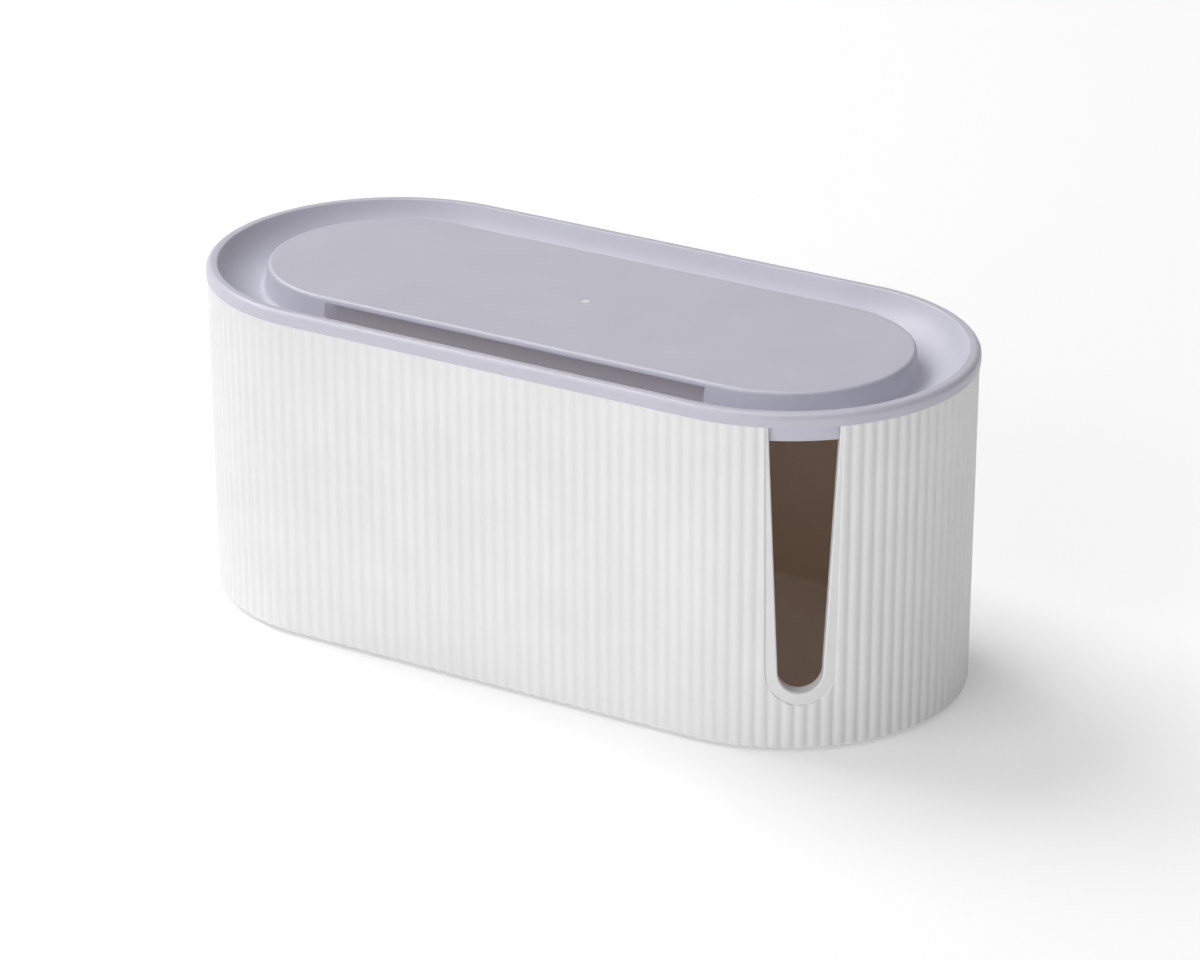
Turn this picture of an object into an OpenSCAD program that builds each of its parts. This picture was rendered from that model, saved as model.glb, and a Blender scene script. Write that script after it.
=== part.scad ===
// Cable box: a fluted, pill-shaped box with cable outlets, a lift-off lid with a raised plateau, and four pads.
// The origin is on the table under the middle of the box: +X runs along its length, +Y to its back and +Z up.

/* [Overall size] */
// Length over the rim of the lid
length = 310; // [300:1:360]
// Width over the rim of the lid
width = 140; // [138:1:144]
// Height from the table to the crest of the lid's rim
height = 130; // [115:1:160]

/* [Box] */
// How far the lid's rim stands out past the crests of the flutes
overhang = 0.5; // [0.2:0.1:1]
// Thickness of the wall at the crests of the flutes
wall = 2.4; // [2:0.1:3]
// Thickness of the floor
floor_thickness = 2.4; // [2:0.1:3]
// Radius of the outer bottom edge
base_radius = 1.5; // [1:0.1:3]
// Radius between the floor and the wall inside
inner_radius = 3; // [1:0.5:6]
// Number of flutes along one straight side
side_flutes = 35; // [20:1:50]
// Number of flutes round one end
end_flutes = 46; // [30:1:60]
// Depth of the flutes
flute_depth = 0.6; // [0.3:0.1:0.6]

/* [Cable outlets] */
// Direction of the front outlet from the centre of its round end, in degrees right of straight ahead
outlet_turn = 34.8; // [25:0.1:60]
// Width of an outlet at the top edge of the box
outlet_top_width = 25.2; // [20:0.1:28]
// Width of an outlet at the start of its round bottom
outlet_low_width = 16.4; // [12:0.1:20]
// Height of the lowest point of an outlet above the table
outlet_bottom = 22.8; // [15:0.1:50]
// Width of the smooth band beside an outlet at the top edge
band_top = 1.6; // [1:0.1:4]
// Width of the smooth band round the bottom of an outlet
band_low = 5; // [3:0.1:6]
// Depth of the band below the crests of the flutes
band_depth = 0.65; // [0.65:0.05:1]
// Depth of the collar that lines an outlet inside the wall
collar_depth = 4.3; // [2:0.1:5]
// Thickness of the collar
collar_thickness = 1.3; // [1.2:0.1:2.4]

/* [Lid] */
// Height of the rim above the top edge of the box
rim_height = 5; // [4.5:0.1:6]
// Width of the rim from its outer face to its inner edge
rim_width = 4.6; // [4.4:0.1:5]
// Radius of the rim's outer top edge
rim_radius = 2.4; // [2:0.1:2.5]
// Radius of the rim's inner edge
rim_inner_radius = 0.8; // [0.5:0.1:1]
// Thickness of the lid
lid_thickness = 2; // [1.6:0.1:2.4]
// How far the plateau lies below the crest of the rim
plateau_drop = 0.9; // [0.5:0.1:1.2]
// Half width of the flat top of the plateau
plateau_half_width = 45.3; // [44:0.1:46]
// Radius of the plateau's top edge
plateau_edge_radius = 1.6; // [1:0.1:1.8]
// Lean of the plateau's flank from upright, in degrees
flank_lean = 10; // [6:1:12]
// Radius between the flank and the trough
foot_fillet = 2; // [1.5:0.1:2.5]
// Slope of the trough at the plateau's foot, in degrees
bowl_start_slope = 12; // [5:1:20]
// Slope of the trough where it meets the rim, in degrees
bowl_end_slope = 58; // [52:1:62]
// Depth of the locating skirt below the top edge of the box
skirt_depth = 6.2; // [4:0.1:8]
// Thickness of the skirt
skirt_thickness = 1.8; // [1.4:0.1:2.2]
// Gap between the skirt and the wall of the box
skirt_gap = 0.4; // [0.3:0.05:0.6]
// Diameter of the moulding gate mark in the middle of the plateau
gate_diameter = 3.4; // [2:0.1:5]

/* [Lid slot] */
// Length of the slot in the front flank
slot_length = 161.6; // [100:0.1:163]
// Distance of the middle of the slot from the middle of the box
slot_x = -2.5; // [-4:0.1:4]
// Height of the slot
slot_height = 6.7; // [5:0.1:6.8]
// Depth from the plateau to the top of the slot
slot_drop = 2.05; // [2.05:0.05:2.6]
// Depth of the cable duct behind the slot
duct_depth = 7.5; // [6:0.5:10]
// Thickness of the duct's walls
duct_wall = 1.6; // [1.2:0.1:2]
// Radius of the slot's lower corners
slot_corner = 2.5; // [1.5:0.5:3]

/* [Feet] */
// Diameter of a foot pad
foot_diameter = 12; // [10:1:16]
// Thickness of a foot pad
foot_thickness = 1.8; // [1.6:0.1:2.2]
// Depth of the well that holds a foot pad
foot_well = 0.8; // [0.6:0.1:1]
// Distance of the foot pads from the middle, along the box
foot_x = 104; // [80:1:115]
// Distance of the foot pads from the middle, across the box
foot_y = 38; // [30:1:45]

/* [Hidden] */
$fn = 96;
eps = 0.01;
// How far a cutting shape runs past a face
past = 1;
// Gap between the collar and the skirt above it, gap round a foot pad, and depth of the gate mark
collar_clearance = 0.6;
foot_clearance = 0.3;
gate_depth = 0.2;
// How far the duct reaches below the slot, and how far the slot's cut runs out in front of the plateau
duct_below_slot = 6;
slot_cut_reach = 8;

// Outline: the half length of the straight sides, and radii measured from the line between the end centres.
rim_r = width / 2;
end_x = length / 2 - rim_r;
crest_r = rim_r - overhang;
inner_r = crest_r - wall;
// The cuts for an outlet run between these radii, from well inside the box to outside it.
outlet_from_r = inner_r / 2;
outlet_to_r = crest_r + 5;

// Heights of the box.
box_bottom = foot_thickness - foot_well;
seam_z = height - rim_height;
floor_z = box_bottom + floor_thickness;

// Section of the lid. The rim has a flat top between two rounded edges, the trough is a shallow bowl that runs
// up to its inner edge, and a small fillet joins the bowl to the leaning flank of the plateau. Turns are in
// degrees from +r towards +Z.
plateau_z = height - plateau_drop;
crest_centre = [rim_r - rim_radius, height - rim_radius];
inner_edge_centre = [rim_r - rim_width + rim_inner_radius, height - rim_inner_radius];
edge_centre = [plateau_half_width, plateau_z - plateau_edge_radius];
flank_normal = [cos(flank_lean), sin(flank_lean)];
flank_top = edge_centre + plateau_edge_radius * flank_normal;
crest_turn = 90 + bowl_end_slope;
bowl_in = [cos(crest_turn), sin(crest_turn)];
bowl_out = [cos(270 + bowl_start_slope), sin(270 + bowl_start_slope)];
bowl_end = inner_edge_centre + rim_inner_radius * bowl_in;
bowl_radius = (foot_fillet * (1 + flank_normal * bowl_out) - flank_normal * (bowl_end - flank_top))
    / (flank_normal * (bowl_in + bowl_out));
bowl_centre = bowl_end + bowl_radius * bowl_in;
fillet_centre = bowl_centre + (bowl_radius - foot_fillet) * bowl_out;

// Inside of the lid
skirt_r = inner_r - skirt_gap;
skirt_inner_r = skirt_r - skirt_thickness;
skirt_z = seam_z - skirt_depth;
under_z = plateau_z - lid_thickness;
under_r = flank_top[0] - (lid_thickness + flank_normal[1] * (under_z - flank_top[1])) / flank_normal[0];
under_bowl_radius = bowl_radius + lid_thickness;
skirt_meets_bowl = 270 + asin((skirt_inner_r - bowl_centre[0]) / under_bowl_radius);

// Slot in the plateau's front flank and the cable duct behind it
slot_top_z = plateau_z - slot_drop;
slot_bottom_z = slot_top_z - slot_height;
duct_front_y = -plateau_half_width;
duct_back_y = duct_front_y + duct_depth;
duct_z = slot_bottom_z - duct_below_slot;

// Points along the smooth outline of one flute, as [distance along the wall, depth below the crest line].
flute_points = 6;
function flute_drop(i) = flute_depth * pow(abs(cos(180 * i / flute_points)), 3);

// One point of the fluted outline: along the front, round the right end, along the back and round the left end.
side_points = side_flutes * flute_points;
end_points = end_flutes * flute_points;
function side_point(i) = [-end_x + 2 * end_x * i / side_points, -(crest_r - flute_drop(i + flute_points / 2))];
function end_point(i) =
    let (turn = -90 + 180 * i / end_points, r = crest_r - flute_drop(i + flute_points / 2))
    [end_x + r * cos(turn), r * sin(turn)];
fluted_half = concat(
    [for (i = [0 : side_points - 1]) side_point(i)],
    [for (i = [0 : end_points - 1]) end_point(i)]
);
fluted_outline = concat(fluted_half, [for (p = fluted_half) -p]);

// Sweeps a half section round the oval: its x is measured from the line between the end centres, its y is height.
module around_oval() {
    for (side = [0, 180])
        rotate(side)
            translate([end_x, 0, 0])
                rotate(-90)
                    rotate_extrude(angle = 180)
                        children();
    rotate([90, 0, 90])
        translate([0, 0, -end_x])
            linear_extrude(2 * end_x) {
                children();
                mirror([1, 0])
                    children();
            }
}

// Half section from the middle out to r, with its lower corner rounded.
module rounded_half(r, low, high, corner) {
    translate([0, low])
        square([r - corner, high - low]);
    translate([r - corner - eps, low + corner])
        square([corner + eps, high - low - corner]);
    intersection() {
        translate([r - corner, low + corner])
            circle(corner);
        translate([r - corner - eps, low])
            square(corner + eps);
    }
}

// U-shaped outline of an outlet, widened by a border and open at the top.
module outlet_outline(border_top, border_low, top) {
    low_r = outlet_low_width / 2 + border_low;
    low_z = outlet_bottom + outlet_low_width / 2;
    top_half = outlet_top_width / 2 + border_top;
    translate([0, low_z])
        circle(low_r);
    polygon([
        [-low_r, low_z], [low_r, low_z], [top_half, seam_z], [top_half, top], [-top_half, top], [-top_half, seam_z]
    ]);
}

// Places an upright outline as a prism that runs from one radius to another, at the front right or the back left.
module at_outlets(from_r, to_r) {
    for (side = [0, 180])
        rotate(side)
            translate([end_x, 0, 0])
                rotate([90, 0, outlet_turn])
                    translate([0, 0, from_r])
                        linear_extrude(to_r - from_r)
                            children();
}

// Rings round the centres of the two ends, between two radii.
module end_rings(from_r, to_r) {
    for (x = [-end_x, end_x])
        translate([x, 0, box_bottom + base_radius])
            difference() {
                cylinder(r = to_r, h = height - box_bottom - base_radius);
                translate([0, 0, -past])
                    cylinder(r = from_r, h = height - box_bottom - base_radius + 2 * past);
            }
}

module foot_places() {
    for (x = [-foot_x, foot_x], y = [-foot_y, foot_y])
        translate([x, y, 0])
            children();
}

module box_body() {
    color("white")
        difference() {
            union() {
                // Fluted wall, sunk for the smooth band round each outlet
                difference() {
                    translate([0, 0, box_bottom + base_radius])
                        linear_extrude(seam_z - box_bottom - base_radius)
                            polygon(fluted_outline);
                    intersection() {
                        end_rings(crest_r - band_depth, crest_r + past);
                        at_outlets(outlet_from_r, outlet_to_r)
                            outlet_outline(band_top, band_low, seam_z + past);
                    }
                }
                // Smooth rounded foot of the wall
                around_oval()
                    rounded_half(crest_r - flute_depth, box_bottom, box_bottom + base_radius + past, base_radius);
            }
            // Inside, with the collar left round each outlet
            difference() {
                around_oval()
                    rounded_half(inner_r, floor_z, seam_z + past, inner_radius);
                at_outlets(inner_r - collar_depth, crest_r)
                    intersection() {
                        outlet_outline(collar_thickness, collar_thickness, seam_z);
                        translate([-width / 2, 0])
                            square([width, skirt_z - collar_clearance]);
                    }
            }
            // Outlets
            at_outlets(outlet_from_r, outlet_to_r)
                outlet_outline(0, 0, seam_z + past);
            // Wells for the feet
            foot_places()
                translate([0, 0, box_bottom - past])
                    cylinder(r = foot_diameter / 2 + foot_clearance, h = foot_well + past);
        }
}

// Points along an arc in the section of the lid
function arc(centre, radius, from, to, steps) =
    [for (i = [0 : steps]) let (turn = from + (to - from) * i / steps) centre + radius * [cos(turn), sin(turn)]];

lid_half = concat(
    [[0, plateau_z]],
    arc(edge_centre, plateau_edge_radius, 90, flank_lean, 8),
    arc(fillet_centre, foot_fillet, 180 + flank_lean, 270 + bowl_start_slope, 8),
    arc(bowl_centre, bowl_radius, 270 + bowl_start_slope, 180 + crest_turn, 12),
    arc(inner_edge_centre, rim_inner_radius, crest_turn, 90, 4),
    arc(crest_centre, rim_radius, 90, 0, 12),
    [[rim_r, seam_z], [skirt_r, seam_z], [skirt_r, skirt_z], [skirt_inner_r, skirt_z]],
    arc(bowl_centre, under_bowl_radius, skirt_meets_bowl, 270 + bowl_start_slope, 12),
    arc(fillet_centre, foot_fillet + lid_thickness, 270 + bowl_start_slope, 180 + flank_lean, 8),
    [[under_r, under_z], [0, under_z]]
);

// Slot outline seen from the front: its lower corners are rounded.
module slot_outline() {
    half = slot_length / 2;
    translate([slot_x - half, slot_bottom_z + slot_corner])
        square([slot_length, slot_height - slot_corner]);
    translate([slot_x + slot_corner - half, slot_bottom_z])
        square([slot_length - 2 * slot_corner, slot_height]);
    for (side = [-1, 1])
        translate([slot_x + side * (half - slot_corner), slot_bottom_z + slot_corner])
            circle(slot_corner);
}

// Block behind the front flank that spans the slot, grown sideways, to the back and downwards by a margin.
module duct_block(front_y, margin, low) {
    translate([slot_x - slot_length / 2 - margin, front_y, low])
        cube([slot_length + 2 * margin, duct_back_y + margin - front_y, under_z + eps - low]);
}

module lid() {
    color("lavender")
        difference() {
            union() {
                around_oval()
                    polygon(lid_half);
                // Walls of the cable duct
                difference() {
                    duct_block(duct_front_y, duct_wall, duct_z);
                    duct_block(duct_front_y - past, 0, duct_z - past);
                }
            }
            translate([0, duct_back_y, 0])
                rotate([90, 0, 0])
                    linear_extrude(duct_depth + slot_cut_reach)
                        slot_outline();
            translate([0, 0, plateau_z - gate_depth])
                cylinder(d = gate_diameter, h = gate_depth + past);
        }
}

// Round pad glued into its well under the floor
module foot(x, y) {
    color("dimgray")
        translate([x, y, 0])
            cylinder(d = foot_diameter, h = foot_thickness);
}

box_body();
lid();
foot(-foot_x, -foot_y);  // foot_front_left
foot(foot_x, -foot_y);  // foot_front_right
foot(-foot_x, foot_y);  // foot_back_left
foot(foot_x, foot_y);  // foot_back_right
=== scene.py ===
"""Looks of the cable box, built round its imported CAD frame.

Shapes are worked out in millimetres and degrees, and made in metres.
"""

import math
from collections import namedtuple

import bmesh
import bpy
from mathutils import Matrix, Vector
from mathutils.geometry import delaunay_2d_cdt


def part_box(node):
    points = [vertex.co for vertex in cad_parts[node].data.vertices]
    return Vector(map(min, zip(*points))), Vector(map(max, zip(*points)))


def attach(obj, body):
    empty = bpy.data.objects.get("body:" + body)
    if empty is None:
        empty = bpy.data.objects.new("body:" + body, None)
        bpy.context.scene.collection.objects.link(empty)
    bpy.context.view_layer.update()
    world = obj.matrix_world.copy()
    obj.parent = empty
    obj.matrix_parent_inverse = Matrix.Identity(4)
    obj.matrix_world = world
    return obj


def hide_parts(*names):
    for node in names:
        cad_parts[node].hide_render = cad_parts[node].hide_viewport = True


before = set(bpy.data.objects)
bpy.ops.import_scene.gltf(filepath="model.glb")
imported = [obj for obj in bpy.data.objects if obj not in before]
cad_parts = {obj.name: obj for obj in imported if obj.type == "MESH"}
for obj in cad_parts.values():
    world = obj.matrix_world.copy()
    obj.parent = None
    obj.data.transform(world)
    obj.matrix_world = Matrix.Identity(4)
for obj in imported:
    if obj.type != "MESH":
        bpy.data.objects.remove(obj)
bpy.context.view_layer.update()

MM = 0.001
# Lengths in millimetres that differ by less than this are the same
TINY = 1e-6

# ---------------------------------------------------------------- sizes, in millimetres and degrees

# Overall sizes come from the frame.
box_low, box_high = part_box("box_body")
lid_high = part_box("lid")[1]
RIM_R = round(lid_high[1] / MM, 1)
END_X = lid_high[0] / MM - RIM_R
TOP_Z = round(lid_high[2] / MM, 1)
SEAM_Z = round(box_high[2] / MM, 1)
BOX_BOTTOM = round(box_low[2] / MM, 1)

# Box. Its walls lean in a little towards the floor, by DRAFT at the bottom.
RIM_OVERHANG = 0.5
CREST_R = RIM_R - RIM_OVERHANG
WALL = 2.4
INNER_R = CREST_R - WALL
FLOOR_THICKNESS = 2.4
FLOOR_Z = BOX_BOTTOM + FLOOR_THICKNESS
BASE_RADIUS = 1.5
INNER_RADIUS = 3.0
TOP_EDGE = 0.45
INNER_EDGE = 0.3
DRAFT = 0.7
SIDE_FLUTES = 35
END_FLUTES = 46
FLUTE_DEPTH = 0.6
# The higher this is, the narrower the grooves are, and the wider the crests between them
FLUTE_SHARPNESS = 3

# Outlets: a U-shaped opening with a sunk smooth band outside and a collar inside
OUTLET_TURN = -55.2
OUTLET_TOP_WIDTH = 25.2
OUTLET_LOW_WIDTH = 16.4
OUTLET_BOTTOM = 22.8
OUTLET_LOW_Z = OUTLET_BOTTOM + OUTLET_LOW_WIDTH / 2
BAND_TOP = 1.6
BAND_LOW = 5.0
BAND_DEPTH = 0.65
BAND_R = CREST_R - BAND_DEPTH
STEP_WIDTH = 0.5
LIP = 0.8
COLLAR_DEPTH = 4.3
COLLAR_THICKNESS = 1.3
COLLAR_EDGE = 0.4
COLLAR_DROP = 6.8
COLLAR_TOP = SEAM_Z - COLLAR_DROP

# Lid
RIM_WIDTH = 4.6
RIM_RADIUS = 2.4
RIM_INNER_RADIUS = 0.8
RIM_EDGE = 0.3
LID_THICKNESS = 2.0
PLATEAU_DROP = 0.9
PLATEAU_Z = TOP_Z - PLATEAU_DROP
UNDER_Z = PLATEAU_Z - LID_THICKNESS
PLATEAU_HALF_WIDTH = 45.3
PLATEAU_EDGE_RADIUS = 1.6
FLANK_LEAN = 10.0
FOOT_FILLET = 2.0
BOWL_START_SLOPE = 12.0
BOWL_END_SLOPE = 58.0
SKIRT_GAP = 0.4
SKIRT_R = INNER_R - SKIRT_GAP
SKIRT_THICKNESS = 1.8
SKIRT_INNER_R = SKIRT_R - SKIRT_THICKNESS
SKIRT_DEPTH = 6.2
SKIRT_Z = SEAM_Z - SKIRT_DEPTH
SKIRT_EDGE = 0.5
GATE_R = 1.7
GATE_DEPTH = 0.15
# How much narrower the gate mark is at its bottom, as a share of its radius
GATE_TAPER = 0.06

# Slot in the front flank and the duct behind it
SLOT_HALF_LENGTH = 80.8
SLOT_CENTRE_X = -2.5
SLOT_DROP = 2.05
SLOT_TOP_Z = PLATEAU_Z - SLOT_DROP
SLOT_HEIGHT = 6.7
SLOT_CORNER = 2.5
SLOT_EDGE = 0.3
DUCT_DEPTH = 7.5
DUCT_WALL = 1.6
DUCT_BELOW_SLOT = 6.0
DUCT_LOW_Z = SLOT_TOP_Z - SLOT_HEIGHT - DUCT_BELOW_SLOT

# Feet
FEET = ["foot_front_left", "foot_front_right", "foot_back_left", "foot_back_right"]
FOOT_CLEARANCE = 0.3
FOOT_WELL = 0.8
FOOT_EDGE = 0.45
SOLE_WIDTH = 1.8
DISH_DEPTH = 0.15
DISH_SLOPE_WIDTH = 0.4

# How many steps each curve is made of
EDGE_STEPS = 3
FLUTE_STEPS = 12
BASE_STEPS = 6
OUTLET_SIDE_STEPS = 3
OUTLET_ARC_STEPS = 96
BAND_STEP_STEPS = 5
LIP_STEPS = 5
PLATEAU_EDGE_STEPS = 10
FILLET_STEPS = 8
BOWL_STEPS = 18
UNDER_BOWL_STEPS = 12
RIM_INNER_STEPS = 5
RIM_STEPS = 16
SLOT_CORNER_STEPS = 7
LID_SIDE_STEPS = 10
LID_END_STEPS = 90
CIRCLE_STEPS = 48
PAD_EDGE_STEPS = 4

# Shading: edges sharper than this angle stay sharp, and flat faces lead the shading of their neighbours
SHARP_ANGLE = 38.0
FACE_WEIGHTS = "__mod_weightednormals_faceweight"
STRONG_FACE = 16384

# Places in the pieces' lists of materials
BOX_OUTSIDE, BOX_INSIDE = 0, 1
LID_TOP, LID_GATE, LID_UNDER = 0, 1, 2


def sin(turn):
    return math.sin(math.radians(turn))


def cos(turn):
    return math.cos(math.radians(turn))


def steps(start, end, count):
    """count + 1 evenly spaced values from start to end."""
    return [start + (end - start) * i / count for i in range(count + 1)]


def arc(centre, radius, start, end, count):
    return [(centre[0] + radius * cos(t), centre[1] + radius * sin(t)) for t in steps(start, end, count)]


def on_cylinder(radius, across):
    """How far out a cylinder of a radius is, at a distance to the side of its axis."""
    return math.sqrt(radius * radius - across * across)


def foot_circle(node):
    """Centre and radius of a foot in plan, from its CAD solid."""
    low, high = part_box(node)
    centre = [(low[k] + high[k]) / 2 / MM for k in (0, 1)]
    return centre, (high[0] - low[0]) / 2 / MM


# ---------------------------------------------------------------- mesh building


class Shell:
    """Vertices and faces of one piece, in millimetres."""

    def __init__(self):
        self.points = []
        self.faces = []

    def add(self, point):
        self.points.append(point)
        return len(self.points) - 1

    def row(self, points):
        return [self.add(p) for p in points]

    def face(self, corners, flat=False, finish=0):
        self.faces.append((tuple(corners), flat, finish))

    def bridge(self, a, b, closed=False, finish=0):
        """Four-sided faces between two rows of the same length."""
        for i in range(len(a) if closed else len(a) - 1):
            j = (i + 1) % len(a)
            self.face((a[i], a[j], b[j], b[i]), finish=finish)

    def stack(self, rows, finish=0):
        """Faces between each closed row and the next."""
        for a, b in zip(rows, rows[1:]):
            self.bridge(a, b, closed=True, finish=finish)

    def fill(self, outer, holes, finish=0):
        """Flat level face inside a ring, with round holes left open."""
        rings = [outer] + holes
        ids = [i for ring in rings for i in ring]
        edges = []
        for ring in rings:
            start = len(edges)
            edges += [(start + k, start + (k + 1) % len(ring)) for k in range(len(ring))]
        flat = [Vector(self.points[i][:2]) for i in ids]
        found = delaunay_2d_cdt(flat, edges, [], 1, TINY)
        circles = []
        for ring in holes:
            centre = sum((Vector(self.points[i][:2]) for i in ring), Vector((0, 0))) / len(ring)
            circles.append((centre, (Vector(self.points[ring[0]][:2]) - centre).length))
        for corners in found[2]:
            middle = sum((found[0][v] for v in corners), Vector((0, 0))) / 3
            if not any((middle - centre).length < radius for centre, radius in circles):
                self.face([ids[found[3][v][0]] for v in corners], flat=True, finish=finish)


def make_piece(name, shell, materials):
    """Mesh object of a shell, smooth but for its sharp edges, with flat faces kept flat in the shading."""
    bm = bmesh.new()
    strength = bm.faces.layers.int.new(FACE_WEIGHTS)
    verts = [bm.verts.new((x * MM, y * MM, z * MM)) for x, y, z in shell.points]
    for corners, flat, finish in shell.faces:
        face = bm.faces.new([verts[i] for i in corners])
        face.smooth = True
        face.material_index = finish
        face[strength] = STRONG_FACE if flat else 0
    bmesh.ops.recalc_face_normals(bm, faces=bm.faces)
    mesh = bpy.data.meshes.new(name)
    bm.to_mesh(mesh)
    bm.free()
    mesh.set_sharp_from_angle(angle=math.radians(SHARP_ANGLE))
    for material in materials:
        mesh.materials.append(material)
    piece = bpy.data.objects.new(name, mesh)
    bpy.context.scene.collection.objects.link(piece)
    return piece


def join(piece, other):
    """Make the piece one closed solid with another, which is then removed."""
    union = piece.modifiers.new("join", "BOOLEAN")
    union.operation = "UNION"
    union.solver = "EXACT"
    union.object = other
    bpy.context.view_layer.update()
    graph = bpy.context.evaluated_depsgraph_get()
    joined = bpy.data.meshes.new_from_object(piece.evaluated_get(graph))
    piece.modifiers.clear()
    piece.data = joined
    bpy.data.objects.remove(other)


def weigh_normals(piece):
    weighted = piece.modifiers.new("flat_faces_lead", "WEIGHTED_NORMAL")
    weighted.keep_sharp = True
    weighted.use_face_influence = True


# ---------------------------------------------------------------- box

# One column of the box: which half it is in (1 or -1), the point of the middle line it is measured from, its
# outward direction, and how deep the flutes are there.
Column = namedtuple("Column", "half anchor out_x out_y drop")


def flute_drop(phase):
    return FLUTE_DEPTH * abs(math.sin(math.pi * phase)) ** FLUTE_SHARPNESS


def draft(z):
    """How far out the wall is at a height, as a share of how far out it is at the top edge."""
    return 1 - DRAFT / CREST_R * (SEAM_Z - z) / (SEAM_Z - BOX_BOTTOM)


def box_point(column, r, z):
    r *= draft(z)
    return (column.half * (column.anchor + r * column.out_x), column.half * r * column.out_y, z)


def side_column(half, share):
    return Column(half, END_X * (2 * share - 1), 0, -1, flute_drop(SIDE_FLUTES * share))


def end_column(half, turn):
    return Column(half, END_X, cos(turn), sin(turn), flute_drop(END_FLUTES * (turn + 90) / 180))


def turn_across(x, radius):
    """Turn of the point of the round end that is x to the side of the outlet's middle."""
    return OUTLET_TURN + math.degrees(math.asin(x / radius))


def outlet_point(half, across, out, z):
    """A point of the outlet, given across it, out from the middle of the round end, and up."""
    across *= draft(z)
    out *= draft(z)
    x = END_X + out * cos(OUTLET_TURN) - across * sin(OUTLET_TURN)
    y = out * sin(OUTLET_TURN) + across * cos(OUTLET_TURN)
    return (half * x, half * y, z)


def outlet_outline(top_border, low_border):
    """(across, z) down one side of the outlet, round its bottom and up the other, widened by a border."""
    low_r = OUTLET_LOW_WIDTH / 2 + low_border
    growth = (OUTLET_TOP_WIDTH / 2 + top_border - low_r) / (SEAM_Z - OUTLET_LOW_Z)
    levels = [SEAM_Z - TOP_EDGE] + steps(COLLAR_TOP, OUTLET_LOW_Z, OUTLET_SIDE_STEPS)[:-1]
    side = [(low_r + growth * (z - OUTLET_LOW_Z), z) for z in levels]
    bottom = arc((0, OUTLET_LOW_Z), low_r, 180, 360, OUTLET_ARC_STEPS)
    return [(-x, z) for x, z in side] + bottom + side[::-1]


def rounded_top(add, out, inner):
    """The rows of one column over the top edge of the wall, from the outer face to the inner one."""
    turns = steps(0, 90, EDGE_STEPS)[1:]
    rows = [add(out - TOP_EDGE * (1 - cos(t)), SEAM_Z - TOP_EDGE * (1 - sin(t))) for t in turns]
    return rows + [add(inner + INNER_EDGE, SEAM_Z), add(inner, SEAM_Z - INNER_EDGE)]


BASE_TURNS = steps(90, 0, BASE_STEPS)
FLOOR_TURNS = steps(0, 90, BASE_STEPS)
BAND_OUTLINE = outlet_outline(BAND_TOP, BAND_LOW)
COLLAR_OUTLINE = outlet_outline(COLLAR_THICKNESS, COLLAR_THICKNESS)
COLLAR_EDGE_OUTLINE = outlet_outline(COLLAR_EDGE, COLLAR_EDGE)
OPEN_OUTLINE = outlet_outline(0, 0)
# Every outline has the same number of points. The first and the last are at the wall's top edge.
LAST = len(BAND_OUTLINE) - 1
BELOW_TOP = range(1, LAST)


def band_sections():
    """Rows across the band: the rounded ends of the flutes, the flat band and the rounded lip.

    Each row is its border at the top, its border at the bottom, how far it is sunk below the band, and the
    share of the flutes' height that is left.
    """
    rows = []
    for t in steps(0, 90, BAND_STEP_STEPS)[1:]:
        inset = STEP_WIDTH * sin(t)
        rows.append((BAND_TOP - inset, BAND_LOW - inset, 0, cos(t)))
    for t in steps(0, 90, LIP_STEPS):
        border = LIP * (1 - sin(t))
        rows.append((border, border, LIP * (1 - cos(t)), 0))
    return rows


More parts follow.
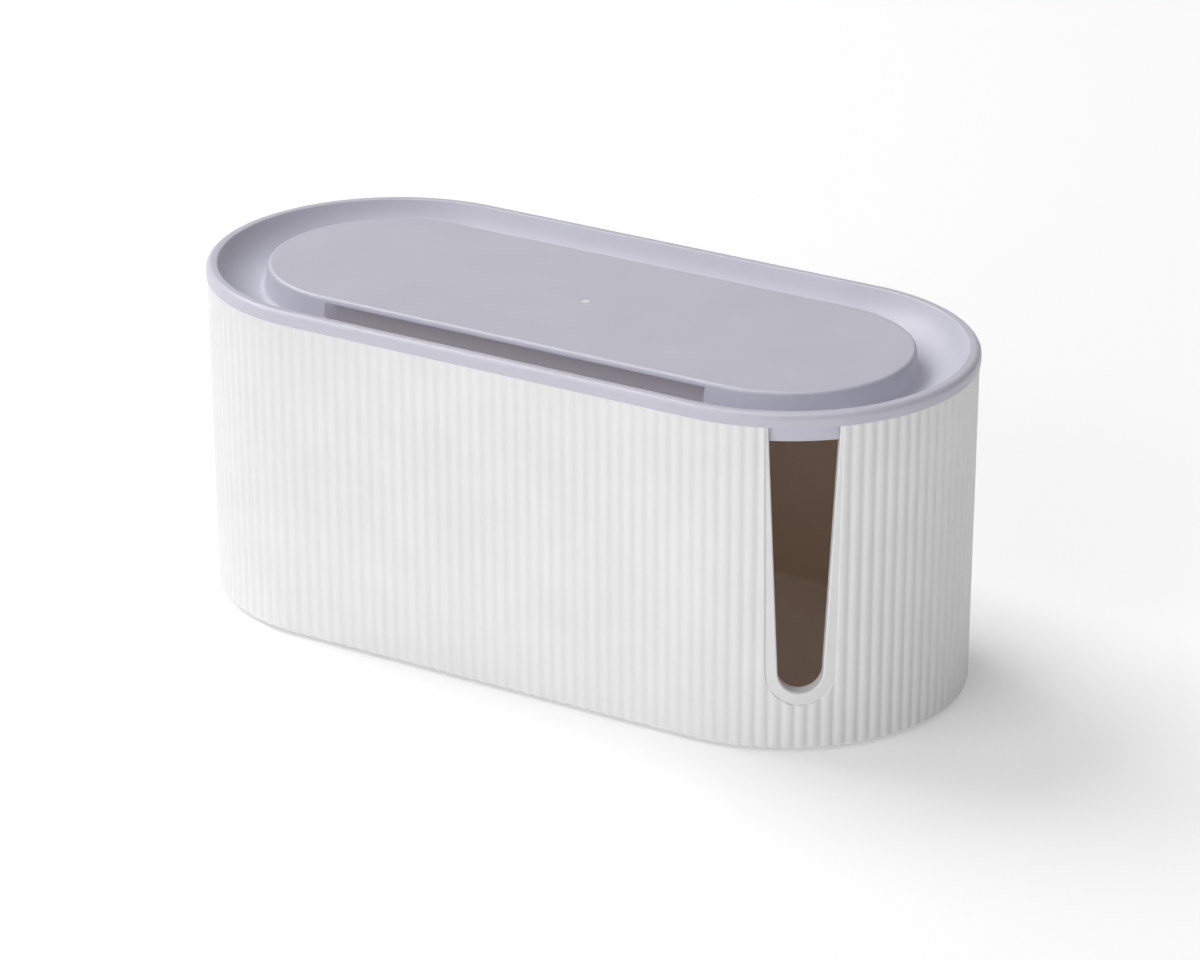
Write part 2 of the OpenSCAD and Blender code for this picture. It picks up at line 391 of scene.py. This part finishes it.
class BoxShell(Shell):
    """The box as columns of points all the way round, with an outlet in each round end."""

    def __init__(self):
        super().__init__()
        self.base_rows = [[] for _ in BASE_TURNS]
        self.floor_rows = [[] for _ in FLOOR_TURNS]
        # The rows of each whole column from the outer wall over the top edge to the collar's height.
        # None stands for an outlet.
        self.top_columns = []

    def add_base(self, column):
        """The column's rows from the underside to the foot of the wall."""
        for row, t in zip(self.base_rows, BASE_TURNS):
            r = CREST_R - column.drop * cos(t) - BASE_RADIUS * (1 - cos(t))
            row.append(self.add(box_point(column, r, BOX_BOTTOM + BASE_RADIUS * (1 - sin(t)))))

    def add_floor(self, column):
        """The column's rows from the inner wall down to the floor."""
        for row, t in zip(self.floor_rows, FLOOR_TURNS):
            r = INNER_R - INNER_RADIUS * (1 - cos(t))
            row.append(self.add(box_point(column, r, FLOOR_Z + INNER_RADIUS * (1 - sin(t)))))

    def top_rows(self, column):
        """The column's rows from the top of the outer wall over the edge, down to the collar's height."""
        out = CREST_R - column.drop
        first = self.add(box_point(column, out, SEAM_Z - TOP_EDGE))
        rows = rounded_top(lambda r, z: self.add(box_point(column, r, z)), out, INNER_R)
        rows.append(self.add(box_point(column, INNER_R, COLLAR_TOP)))
        return [first] + rows

    def add_whole(self, columns):
        for column in columns:
            self.add_base(column)
            self.add_floor(column)
            self.top_columns.append(self.top_rows(column))

    def add_half(self, half):
        """One long side and one round end, with the outlet in it."""
        side_steps = SIDE_FLUTES * FLUTE_STEPS
        end_steps = END_FLUTES * FLUTE_STEPS
        end_turns = [-90 + 180 * i / end_steps for i in range(end_steps)]
        # Whole columns keep a third of a step away from the band.
        margin = math.degrees(math.asin(BAND_OUTLINE[-1][0] / CREST_R)) + 180 / end_steps / 3
        self.add_whole(side_column(half, i / side_steps) for i in range(side_steps))
        self.add_whole(end_column(half, t) for t in end_turns if t < OUTLET_TURN - margin)
        self.add_outlet(half)
        self.add_whole(end_column(half, t) for t in end_turns if t > OUTLET_TURN + margin)

    def add_outlet(self, half):
        """The opening, the wall under it, the band outside and the collar inside."""
        outer_columns = [end_column(half, turn_across(x, CREST_R)) for x, _ in BAND_OUTLINE]
        inner_columns = [end_column(half, turn_across(x, INNER_R)) for x, _ in COLLAR_OUTLINE]
        inner_columns[0], inner_columns[-1] = outer_columns[0], outer_columns[-1]
        start = len(self.base_rows[0])
        for column in outer_columns:
            self.add_base(column)
        for column in inner_columns:
            self.add_floor(column)
        left_top = self.top_rows(outer_columns[0])
        right_top = self.top_rows(outer_columns[-1])

        wall_edge = [left_top[0]]
        for j in BELOW_TOP:
            column = outer_columns[j]
            wall_edge.append(self.add(box_point(column, CREST_R - column.drop, BAND_OUTLINE[j][1])))
        wall_edge.append(right_top[0])
        rises = [max(0, CREST_R - column.drop - BAND_R) for column in outer_columns]
        tops = {0: [left_top], LAST: [right_top]}
        lip = self.add_band(half, wall_edge, rises, tops)
        self.bridge(self.base_rows[-1][start:start + LAST + 1], wall_edge, finish=BOX_OUTSIDE)

        wall_side = self.add_collar(half, lip, tops)
        inner_edge = [left_top[-1]] + [wall_side[j] for j in BELOW_TOP] + [right_top[-1]]
        self.bridge(inner_edge, self.floor_rows[0][start:start + LAST + 1], finish=BOX_INSIDE)
        self.top_columns += [left_top, None, right_top]

    def add_band(self, half, wall_edge, rises, tops):
        """The band round the opening. Adds its rows over the wall's edge to tops. Returns the lip's row."""
        sections = band_sections()
        band_rows = [wall_edge]
        for top_border, low_border, sunk, ridge in sections:
            outline = outlet_outline(top_border, low_border)
            outs = [on_cylinder(BAND_R + ridge * rise, x) - sunk for (x, _), rise in zip(outline, rises)]
            band_rows.append(self.row(
                [outlet_point(half, x, out, z) for (x, z), out in zip(outline, outs)]))
            share = len(tops[0]) / len(sections)
            for end in (0, LAST):
                x = outline[end][0]
                inner_x = math.copysign(BAND_OUTLINE[-1][0] * INNER_R / CREST_R, x) * (1 - share)
                inner_x += OPEN_OUTLINE[end][0] * share
                inner = on_cylinder(INNER_R, inner_x)

                def add(out, z, x=x, inner_x=inner_x, inner=inner, first=outs[end]):
                    blend = min(1, max(0, (first - out) / (first - inner)))
                    return self.add(outlet_point(half, x + (inner_x - x) * blend, out, z))

                tops[end].append([band_rows[-1][end]] + rounded_top(add, outs[end], inner))
        for a, b in zip(band_rows, band_rows[1:]):
            self.bridge(a, b, finish=BOX_OUTSIDE)
        return band_rows[-1]

    def collar_row(self, half, outline, out_at):
        """The outline's points below the top edge, each as far out as out_at says for its place across."""
        row = {}
        for j in BELOW_TOP:
            x, z = outline[j]
            row[j] = self.add(outlet_point(half, x, out_at(x), z))
        return row

    def add_collar(self, half, lip, tops):
        """The opening's cut face, and the collar, which stops below the lid's skirt.

        Returns the collar's row on the inner wall.
        """
        end_out = INNER_R - COLLAR_DEPTH
        open_end = self.collar_row(half, OPEN_OUTLINE, lambda x: end_out + COLLAR_EDGE)
        end_edge = self.collar_row(half, COLLAR_EDGE_OUTLINE, lambda x: end_out)
        end_side = self.collar_row(half, COLLAR_OUTLINE, lambda x: end_out)
        wall_side = self.collar_row(half, COLLAR_OUTLINE, lambda x: on_cylinder(INNER_R, x))
        corner = {}
        for end, j in ((0, 1), (LAST, LAST - 1)):
            x, z = OPEN_OUTLINE[j]
            corner[end] = self.add(outlet_point(half, x, on_cylinder(INNER_R, x), z))
            edge_columns = tops[end]
            self.face([lip[j]] + edge_columns[-1] + [corner[end]], flat=True, finish=BOX_OUTSIDE)
            inner_wall = [rows[-1] for rows in edge_columns[1:]] + [corner[end], wall_side[j]]
            whole = edge_columns[0]
            self.face(inner_wall + [whole[-1], whole[-2]], finish=BOX_INSIDE)
            collar_top = [corner[end], open_end[j], end_edge[j], end_side[j], wall_side[j]]
            self.face(collar_top, flat=True, finish=BOX_INSIDE)
            for a, b in zip(edge_columns, edge_columns[1:]):
                self.bridge(a[:len(b)], b, finish=BOX_OUTSIDE)
        around = (
            (open_end, end_edge, BOX_OUTSIDE),
            (end_edge, end_side, BOX_OUTSIDE),
            (end_side, wall_side, BOX_INSIDE),
        )
        for j in BELOW_TOP[:-1]:
            cut = [lip[j], lip[j + 1], open_end[j + 1], open_end[j]]
            if j == 1:
                cut.append(corner[0])
            if j + 1 == LAST - 1:
                cut.insert(2, corner[LAST])
            self.face(cut, finish=BOX_OUTSIDE)
            for a, b, finish in around:
                self.face((a[j], a[j + 1], b[j + 1], b[j]), finish=finish)
        return wall_side

    def close_walls(self):
        """Outer wall, top edge and inner wall between the whole columns."""
        places = []
        place = 0
        for column in self.top_columns:
            places.append(place)
            place += LAST - 1 if column is None else 1
        count = len(self.top_columns)
        for i in range(count):
            j = (i + 1) % count
            a, b = self.top_columns[i], self.top_columns[j]
            if a is None or b is None:
                continue
            m, n = places[i], places[j]
            self.face((self.base_rows[-1][m], self.base_rows[-1][n], b[0], a[0]), finish=BOX_OUTSIDE)
            for k in range(len(a) - 1):
                finish = BOX_INSIDE if k == len(a) - 2 else BOX_OUTSIDE
                self.face((a[k], b[k], b[k + 1], a[k + 1]), finish=finish)
            self.face((a[-1], b[-1], self.floor_rows[0][n], self.floor_rows[0][m]), finish=BOX_INSIDE)

    def close_underside(self):
        """Underside with the wells of the feet."""
        wells = []
        for name in FEET:
            centre, radius = foot_circle(name)
            circle = arc(centre, radius + FOOT_CLEARANCE, 0, 360, CIRCLE_STEPS)[:-1]
            rim = self.row([(x, y, BOX_BOTTOM) for x, y in circle])
            top = self.row([(x, y, BOX_BOTTOM + FOOT_WELL) for x, y in circle])
            self.bridge(rim, top, closed=True, finish=BOX_OUTSIDE)
            self.face(top, flat=True, finish=BOX_OUTSIDE)
            wells.append(rim)
        self.fill(self.base_rows[0], wells, BOX_OUTSIDE)


def box_piece(materials):
    shell = BoxShell()
    for half in (1, -1):
        shell.add_half(half)
    shell.close_walls()
    shell.stack(shell.base_rows, BOX_OUTSIDE)
    shell.stack(shell.floor_rows, BOX_INSIDE)
    shell.face(shell.floor_rows[-1], flat=True, finish=BOX_INSIDE)
    shell.close_underside()
    return make_piece("box_shell", shell, materials)


# ---------------------------------------------------------------- lid

# Section of the lid: the rounded rim, a shallow bowl, and a fillet up to the leaning flank of the plateau.
CREST_CENTRE = (RIM_R - RIM_RADIUS, TOP_Z - RIM_RADIUS)
INNER_EDGE_CENTRE = (RIM_R - RIM_WIDTH + RIM_INNER_RADIUS, TOP_Z - RIM_INNER_RADIUS)
EDGE_CENTRE = (PLATEAU_HALF_WIDTH, PLATEAU_Z - PLATEAU_EDGE_RADIUS)
FLANK = (cos(FLANK_LEAN), sin(FLANK_LEAN))
FLANK_TOP = [EDGE_CENTRE[k] + PLATEAU_EDGE_RADIUS * FLANK[k] for k in (0, 1)]
FLANK_TURN = 180 + FLANK_LEAN
CREST_TURN = 90 + BOWL_END_SLOPE
BOWL_TURN = 270 + BOWL_START_SLOPE
BOWL_IN = (cos(CREST_TURN), sin(CREST_TURN))
BOWL_OUT = (cos(BOWL_TURN), sin(BOWL_TURN))
BOWL_END = [INNER_EDGE_CENTRE[k] + RIM_INNER_RADIUS * BOWL_IN[k] for k in (0, 1)]


def along_flank(v):
    return FLANK[0] * v[0] + FLANK[1] * v[1]


# The bowl's radius is the one at which the fillet just touches the flank.
BOWL_RADIUS = (
    FOOT_FILLET * (1 + along_flank(BOWL_OUT)) - along_flank([BOWL_END[k] - FLANK_TOP[k] for k in (0, 1)])
) / (along_flank(BOWL_IN) + along_flank(BOWL_OUT))
BOWL_CENTRE = [BOWL_END[k] + BOWL_RADIUS * BOWL_IN[k] for k in (0, 1)]
FILLET_CENTRE = [BOWL_CENTRE[k] + (BOWL_RADIUS - FOOT_FILLET) * BOWL_OUT[k] for k in (0, 1)]


def flank_point(z, sunk):
    """Point of the flank, or of the fillet under it, at a height: on the outer face, or sunk below it."""
    radius = FOOT_FILLET + sunk
    if z < FILLET_CENTRE[1] + radius * sin(FLANK_TURN):
        return (FILLET_CENTRE[0] - on_cylinder(radius, FILLET_CENTRE[1] - z), z)
    return (FLANK_TOP[0] - (sunk + FLANK[1] * (z - FLANK_TOP[1])) / FLANK[0], z)


def slot_corner():
    """Points (x, z) of the slot's rounded lower corner, grown by the rounding of its edge."""
    radius = SLOT_CORNER + SLOT_EDGE
    centre = (SLOT_HALF_LENGTH - SLOT_CORNER, SLOT_TOP_Z - SLOT_HEIGHT + SLOT_CORNER)
    return arc(centre, radius, 0, -90, SLOT_CORNER_STEPS)


def lid_section():
    """Points (r, z) round the lid's section, from the plateau over the rim and back under it.

    Also the rows that the slot's levels are at, outside and inside, and the row where the underside starts.
    """
    levels = [SLOT_TOP_Z + SLOT_EDGE] + [z for _, z in slot_corner()]
    lowest = levels[-1]

    def turn_at(sunk):
        return 180 + math.degrees(math.asin((FILLET_CENTRE[1] - lowest) / (FOOT_FILLET + sunk)))

    outer = arc(EDGE_CENTRE, PLATEAU_EDGE_RADIUS, 90, FLANK_LEAN, PLATEAU_EDGE_STEPS)
    outer_levels = len(outer)
    outer += [flank_point(z, 0) for z in levels]
    outer += arc(FILLET_CENTRE, FOOT_FILLET, turn_at(0), BOWL_TURN, FILLET_STEPS)[1:]
    outer += arc(BOWL_CENTRE, BOWL_RADIUS, BOWL_TURN, 180 + CREST_TURN, BOWL_STEPS)[1:]
    outer += arc(INNER_EDGE_CENTRE, RIM_INNER_RADIUS, CREST_TURN, 90, RIM_INNER_STEPS)[1:]
    outer += arc(CREST_CENTRE, RIM_RADIUS, 90, 0, RIM_STEPS)
    outer += arc((RIM_R - RIM_EDGE, SEAM_Z + RIM_EDGE), RIM_EDGE, 0, -90, EDGE_STEPS)

    skirt_low = SKIRT_Z + SKIRT_EDGE
    inner = [(SKIRT_R, SEAM_Z)]
    inner += arc((SKIRT_R - SKIRT_EDGE, skirt_low), SKIRT_EDGE, 0, -90, EDGE_STEPS)
    inner += arc((SKIRT_INNER_R + SKIRT_EDGE, skirt_low), SKIRT_EDGE, -90, -180, EDGE_STEPS)
    under_start = len(outer) + len(inner)

    under_bowl = BOWL_RADIUS + LID_THICKNESS
    under_fillet = FOOT_FILLET + LID_THICKNESS
    skirt_meets = 270 + math.degrees(math.asin((SKIRT_INNER_R - BOWL_CENTRE[0]) / under_bowl))
    inner += arc(BOWL_CENTRE, under_bowl, skirt_meets, BOWL_TURN, UNDER_BOWL_STEPS)
    inner += arc(FILLET_CENTRE, under_fillet, BOWL_TURN, turn_at(LID_THICKNESS), FILLET_STEPS)[1:-1]
    inner_levels = len(outer) + len(inner)
    inner += [flank_point(z, LID_THICKNESS) for z in levels[:0:-1] + [SLOT_TOP_Z]]
    inner += [flank_point(UNDER_Z, LID_THICKNESS)]

    outer_rows = [outer_levels + k for k in range(len(levels))]
    inner_rows = [inner_levels + len(levels) - 1 - k for k in range(len(levels))]
    return outer + inner, outer_rows, inner_rows, under_start


class LidShell(Shell):
    """The lid: its section carried round the outline, with the slot left open in the front flank."""

    def __init__(self):
        super().__init__()
        section, self.outer_rows, self.inner_rows, self.under_start = lid_section()
        self.corner_x = [x for x, _ in slot_corner()]
        # Places of the columns along the front, measured from the middle of the slot
        front = steps(-self.corner_x[-1], self.corner_x[-1], LID_SIDE_STEPS)[1:-1]
        front += [side * x for x in self.corner_x for side in (-1, 1)]
        self.front = [-END_X - SLOT_CENTRE_X] + sorted(front) + [END_X - SLOT_CENTRE_X]
        columns = [(x + SLOT_CENTRE_X, 0, -1) for x in self.front[:-1]]
        columns += [(END_X, cos(t), sin(t)) for t in steps(-90, 90, LID_END_STEPS)]
        columns += [(x, 0, 1) for x in steps(END_X, -END_X, LID_SIDE_STEPS)[1:-1]]
        columns += [(-END_X, cos(t), sin(t)) for t in steps(90, 270, LID_END_STEPS)[:-1]]
        self.rows = [self.row([(a + r * ox, r * oy, z) for a, ox, oy in columns]) for r, z in section]

    def slot_level(self, m):
        """Which level of the slot the faces after row m are at, from -1 at its top, or None away from it."""
        if m in self.outer_rows[:-1]:
            return self.outer_rows.index(m) - 1
        if m + 1 in self.inner_rows[:-1]:
            return self.inner_rows.index(m + 1) - 1
        return None

    def add_section(self):
        """Faces, but for those in the slot. A face on the slot's rounded corner keeps its lower triangle."""
        count = len(self.rows[0])
        for m in range(len(self.rows) - 1):
            level = self.slot_level(m)
            finish = LID_UNDER if m >= self.under_start else LID_TOP
            for i in range(count):
                j = (i + 1) % count
                quad = [self.rows[m][i], self.rows[m][j], self.rows[m + 1][j], self.rows[m + 1][i]]
                if level is not None and i < len(self.front) - 1:
                    quad = self.cut_by_slot(quad, m, i, level)
                if quad:
                    self.face(quad, finish=finish)

    def cut_by_slot(self, quad, m, i, level):
        """What the slot leaves of the face after row m and column i of the front."""
        left, right = self.front[i], self.front[i + 1]
        far = max(abs(left), abs(right))
        near = 0 if left < 0 < right else min(abs(left), abs(right))
        limit = self.corner_x[max(level + 1, 0)]
        if far <= limit + TINY:
            return None
        if level >= 0 and near >= limit - TINY and far <= self.corner_x[level] + TINY:
            open_row = m if m in self.outer_rows else m + 1
            open_column = i if abs(left) < abs(right) else i + 1
            quad.remove(self.rows[open_row][open_column])
        return quad

    def slot_loop(self):
        """Round the slot's opening: (x, level, outward direction)."""
        widest, narrowest = self.corner_x[0], self.corner_x[-1]
        loop = []
        for x in self.front:
            if abs(x) <= widest + TINY:
                at_end = abs(abs(x) - widest) < TINY
                loop.append((x, 0, (math.copysign(1, x) if at_end else 0, 1)))
        turns = steps(0, -90, SLOT_CORNER_STEPS)
        corner = list(enumerate(zip(self.corner_x, turns), start=1))
        loop += [(x, k, (cos(t), sin(t))) for k, (x, t) in corner]
        lowest = len(self.outer_rows) - 1
        loop += [(x, lowest, (0, -1)) for x in self.front[::-1] if abs(x) < narrowest - TINY]
        loop += [(-x, k, (-cos(t), sin(t))) for k, (x, t) in corner[::-1]]
        return loop

    def add_slot(self):
        """The slot's rounded edge, then the way through the flank."""
        loop = self.slot_loop()
        column_at = {round(x, 6): i for i, x in enumerate(self.front[:-1])}
        outside = [self.rows[self.outer_rows[k]][column_at[round(x, 6)]] for x, k, _ in loop]
        inside = [self.rows[self.inner_rows[k]][column_at[round(x, 6)]] for x, k, _ in loop]
        previous = outside
        for t in steps(0, 90, EDGE_STEPS)[1:]:
            shrink = SLOT_EDGE * sin(t)
            ring = []
            for vertex, (_, _, normal) in zip(outside, loop):
                x, y, z = self.points[vertex]
                y += SLOT_EDGE * (1 - cos(t))
                ring.append(self.add((x - shrink * normal[0], y, z - shrink * normal[1])))
            self.bridge(previous, ring, closed=True, finish=LID_TOP)
            previous = ring
        self.bridge(previous, inside, closed=True, finish=LID_UNDER)

    def add_plateau(self):
        """The plateau with its gate mark, and its underside."""
        gate = arc((0, 0), GATE_R, 0, 360, CIRCLE_STEPS)[:-1]
        inset = 1 - GATE_TAPER
        gate_rim = self.row([(x, y, PLATEAU_Z) for x, y in gate])
        gate_low = self.row([(x * inset, y * inset, PLATEAU_Z - GATE_DEPTH) for x, y in gate])
        self.fill(self.rows[0], [gate_rim], LID_TOP)
        self.bridge(gate_rim, gate_low, closed=True, finish=LID_TOP)
        self.face(gate_low, flat=True, finish=LID_GATE)
        self.face(self.rows[-1], flat=True, finish=LID_UNDER)


def duct_shell():
    """The three walls of the duct behind the slot, which reach into the lid."""
    front_y = -flank_point(SLOT_TOP_Z, LID_THICKNESS / 2)[0]
    back_y = -PLATEAU_HALF_WIDTH + DUCT_DEPTH
    half = SLOT_HALF_LENGTH + SLOT_EDGE
    outer_half = half + DUCT_WALL
    outer_y = back_y + DUCT_WALL
    plan = [(-outer_half, front_y), (-half, front_y), (-half, back_y), (half, back_y), (half, front_y)]
    plan += [(outer_half, front_y), (outer_half, outer_y), (-outer_half, outer_y)]
    shell = Shell()
    low = shell.row([(x + SLOT_CENTRE_X, y, DUCT_LOW_Z) for x, y in plan])
    high = shell.row([(x + SLOT_CENTRE_X, y, UNDER_Z + LID_THICKNESS / 2) for x, y in plan])
    shell.bridge(low, high, closed=True, finish=LID_UNDER)
    shell.face(low, flat=True, finish=LID_UNDER)
    shell.face(high, flat=True, finish=LID_UNDER)
    return shell


def lid_piece(materials):
    shell = LidShell()
    shell.add_section()
    shell.add_slot()
    shell.add_plateau()
    piece = make_piece("lid_shell", shell, materials)
    join(piece, make_piece("duct_walls", duct_shell(), materials))
    return piece


# ---------------------------------------------------------------- feet


def foot_pad(node, material):
    """Round rubber pad with rounded edges and a shallow dish in its sole."""
    centre, radius = foot_circle(node)
    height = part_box(node)[1][2] / MM
    section = [(radius - SOLE_WIDTH - DISH_SLOPE_WIDTH, DISH_DEPTH), (radius - SOLE_WIDTH, 0.0)]
    section += arc((radius - FOOT_EDGE, FOOT_EDGE), FOOT_EDGE, -90, 0, PAD_EDGE_STEPS)
    section += arc((radius - FOOT_EDGE, height - FOOT_EDGE), FOOT_EDGE, 0, 90, PAD_EDGE_STEPS)
    shell = Shell()
    rows = []
    for r, z in section:
        circle = arc(centre, r, 0, 360, CIRCLE_STEPS)[:-1]
        rows.append(shell.row([(x, y, z) for x, y in circle]))
    shell.stack(rows)
    shell.face(rows[0], flat=True)
    shell.face(rows[-1], flat=True)
    return make_piece(node + "_pad", shell, [material])


# ---------------------------------------------------------------- materials

# Sizes of the uneven colour, the uneven gloss and the grain, as noise scales, with their detail
CLOUDS = (35, 3)
GLOSS_PATCHES = (120, 4)
GRAIN = (2600, 2)
GLOSS_SPREAD = 0.04
GRAIN_HEIGHT = 0.1
# Noise stays near its middle, so this part of it is spread over the whole range
NOISE_LOW, NOISE_HIGH = 0.3, 0.7


def plastic(name, colour, roughness, grain=0.02, mottle=0.02, specular=0.5, glow=(0, 0, 0)):
    """Moulded plastic: fine grain in the surface, slightly uneven colour and gloss.

    Glow stands for the light that comes through it.
    """
    material = bpy.data.materials.new(name)
    material.use_nodes = True
    nodes = material.node_tree.nodes
    links = material.node_tree.links
    shader = nodes["Principled BSDF"]
    shader.inputs["Specular IOR Level"].default_value = specular
    shader.inputs["Emission Color"].default_value = [*glow, 1]
    shader.inputs["Emission Strength"].default_value = 1 if any(glow) else 0
    surface_place = nodes.new("ShaderNodeTexCoord")

    def noise(scale, detail):
        node = nodes.new("ShaderNodeTexNoise")
        node.inputs["Scale"].default_value = scale
        node.inputs["Detail"].default_value = detail
        links.new(surface_place.outputs["Object"], node.inputs["Vector"])
        return node.outputs["Fac"]

    def spread(value, low, high):
        node = nodes.new("ShaderNodeMapRange")
        node.inputs["From Min"].default_value = NOISE_LOW
        node.inputs["From Max"].default_value = NOISE_HIGH
        node.inputs["To Min"].default_value = low
        node.inputs["To Max"].default_value = high
        links.new(value, node.inputs["Value"])
        return node.outputs["Result"]

    # Cloudy colour: two close tones of the same plastic
    mix = nodes.new("ShaderNodeMix")
    mix.data_type = "RGBA"
    mix.inputs["A"].default_value = [c * (1 - mottle) for c in colour] + [1]
    mix.inputs["B"].default_value = [min(1, c * (1 + mottle)) for c in colour] + [1]
    links.new(spread(noise(*CLOUDS), 0, 1), mix.inputs["Factor"])
    links.new(mix.outputs["Result"], shader.inputs["Base Color"])
    gloss = spread(noise(*GLOSS_PATCHES), roughness - GLOSS_SPREAD, roughness + GLOSS_SPREAD)
    links.new(gloss, shader.inputs["Roughness"])

    # Fine spark-eroded grain of the mould
    bump = nodes.new("ShaderNodeBump")
    bump.inputs["Strength"].default_value = grain
    bump.inputs["Distance"].default_value = GRAIN_HEIGHT * MM
    links.new(noise(*GRAIN), bump.inputs["Height"])
    links.new(bump.outputs["Normal"], shader.inputs["Normal"])
    return material


# ---------------------------------------------------------------- pieces

white = plastic("white_plastic", (0.86, 0.86, 0.865), 0.42, grain=0.25)
# The box's inside is a darker, warmer copy of the white plastic: painted shade, with a faint warm glow
# painted for light coming through the walls.
inside = plastic("inner_plastic_painted_warm_shade", (0.71, 0.64, 0.55), 0.5, grain=0.25, glow=(0.012, 0.005, 0.0))
lavender = plastic("lavender_plastic", (0.60, 0.595, 0.68), 0.4, grain=0.25)
# The lid's underside, with the duct and the way through the slot, is a lighter copy of the lavender with a
# glow: painted light that brightens them where they lie in shade.
lavender_under = plastic(
    "lavender_underside_painted_light", (0.64, 0.62, 0.71), 0.45, grain=0.25, glow=(0.108, 0.106, 0.121)
)
gate_white = plastic("gate_mark_plastic", (0.85, 0.85, 0.88), 0.35, grain=0.15)
rubber = plastic("foot_rubber", (0.09, 0.09, 0.092), 0.75, grain=0.6, mottle=0.08, specular=0.35)

box = box_piece([white, inside])
weigh_normals(box)
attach(box, "box")
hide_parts("box_body")

lid = lid_piece([lavender, gate_white, lavender_under])
weigh_normals(lid)
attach(lid, "lid")
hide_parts("lid")

for foot in FEET:
    pad = foot_pad(foot, rubber)
    weigh_normals(pad)
    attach(pad, "box")
    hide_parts(foot)

# ---------------------------------------------------------------- studio, in metres

FLOOR_HALF = 20.0
FLOOR_WHITE = (0.92, 0.92, 0.92)
# The floor glows a little round the box, and more far off where the lamps don't reach.
GLOW_NEAR = 0.2
GLOW_FAR = 0.95
GLOW_RISE_START = 1.2
GLOW_RISE_END = 5.0

# The room is dim above and pale near the horizon, where the floor ends. It fades between two heights of the
# direction looked in, where 0 is level and 1 is straight up.
ROOM_DIM = 0.03
ROOM_PALE = 0.9
ROOM_FADE_START = 0.06
ROOM_FADE_END = 0.13


def smooth_fade(nodes, start, end, low, high):
    """Node that goes smoothly from low to high while its value goes from start to end."""
    node = nodes.new("ShaderNodeMapRange")
    node.interpolation_type = "SMOOTHSTEP"
    node.inputs["From Min"].default_value = start
    node.inputs["From Max"].default_value = end
    node.inputs["To Min"].default_value = low
    node.inputs["To Max"].default_value = high
    return node


def floor_paint():
    paint = plastic(
        "studio_floor_paint", FLOOR_WHITE, 0.9, grain=0.0, mottle=0.002, specular=0.1, glow=FLOOR_WHITE
    )
    nodes = paint.node_tree.nodes
    links = paint.node_tree.links
    floor_place = nodes.new("ShaderNodeTexCoord")
    distance = nodes.new("ShaderNodeVectorMath")
    distance.operation = "LENGTH"
    glow = smooth_fade(nodes, GLOW_RISE_START, GLOW_RISE_END, GLOW_NEAR, GLOW_FAR)
    links.new(floor_place.outputs["Object"], distance.inputs[0])
    links.new(distance.outputs["Value"], glow.inputs["Value"])
    links.new(glow.outputs["Result"], nodes["Principled BSDF"].inputs["Emission Strength"])
    return paint


def studio_floor():
    mesh = bpy.data.meshes.new("studio_floor")
    corners = [(-FLOOR_HALF, -FLOOR_HALF, 0), (FLOOR_HALF, -FLOOR_HALF, 0)]
    corners += [(FLOOR_HALF, FLOOR_HALF, 0), (-FLOOR_HALF, FLOOR_HALF, 0)]
    mesh.from_pydata(corners, [], [(0, 1, 2, 3)])
    mesh.materials.append(floor_paint())
    plane = bpy.data.objects.new("studio_floor", mesh)
    bpy.context.scene.collection.objects.link(plane)
    return plane


def studio_room():
    world = bpy.data.worlds.new("studio")
    bpy.context.scene.world = world
    world.use_nodes = True
    nodes = world.node_tree.nodes
    links = world.node_tree.links
    direction = nodes.new("ShaderNodeTexCoord")
    parts = nodes.new("ShaderNodeSeparateXYZ")
    fade = smooth_fade(nodes, ROOM_FADE_START, ROOM_FADE_END, ROOM_PALE, ROOM_DIM)
    links.new(direction.outputs["Generated"], parts.inputs["Vector"])
    links.new(parts.outputs["Z"], fade.inputs["Value"])
    links.new(fade.outputs["Result"], nodes["Background"].inputs["Strength"])
    nodes["Background"].inputs["Color"].default_value = (1, 1, 1, 1)


floor = studio_floor()
studio_room()

LAMP_DISTANCE = 4.4
LAMP_SIZE = 2.8
LAMP_TARGET = Vector((0, 0, 0.08))


def outward(azimuth, elevation):
    """Direction from the box: azimuth 0 is the front, and it grows towards the right."""
    return Vector((sin(azimuth) * cos(elevation), -cos(azimuth) * cos(elevation), sin(elevation)))


def face_back(holder, out):
    """Turn a lamp or a camera so that it looks against a direction."""
    holder.rotation_euler = out.to_track_quat("Z", "Y").to_euler()


def soft_light(name, azimuth, elevation, power):
    """A large square lamp that faces the middle of the box."""
    lamp = bpy.data.lights.new(name, "AREA")
    lamp.shape = "SQUARE"
    lamp.size = LAMP_SIZE
    lamp.energy = power
    holder = bpy.data.objects.new(name, lamp)
    bpy.context.scene.collection.objects.link(holder)
    out = outward(azimuth, elevation)
    holder.location = LAMP_TARGET + out * LAMP_DISTANCE
    face_back(holder, out)


soft_light("key", azimuth=-100, elevation=50, power=122)
soft_light("front_left", azimuth=-30, elevation=40, power=24)
soft_light("front", azimuth=0, elevation=20, power=50)
soft_light("top", azimuth=0, elevation=88, power=62)

# ---------------------------------------------------------------- camera

CAMERA_AZIMUTH = 31.39
CAMERA_ELEVATION = 22.80
CAMERA_DISTANCE = 1.798
CAMERA_TARGET = Vector((0.00638, 0.00025, 0.05904))
# Width of the sensor and focal length in millimetres
CAMERA_SENSOR = 36
CAMERA_LENS = 144.735
CAMERA_REACH = 100

camera_data = bpy.data.cameras.new("camera")
camera_data.sensor_fit = "HORIZONTAL"
camera_data.sensor_width = CAMERA_SENSOR
camera_data.lens = CAMERA_LENS
camera_data.clip_end = CAMERA_REACH
camera = bpy.data.objects.new("camera", camera_data)
bpy.context.scene.collection.objects.link(camera)
back = outward(CAMERA_AZIMUTH, CAMERA_ELEVATION)
camera.location = CAMERA_TARGET + back * CAMERA_DISTANCE
face_back(camera, back)
bpy.context.scene.camera = camera
bpy.context.scene.view_settings.view_transform = "Standard"
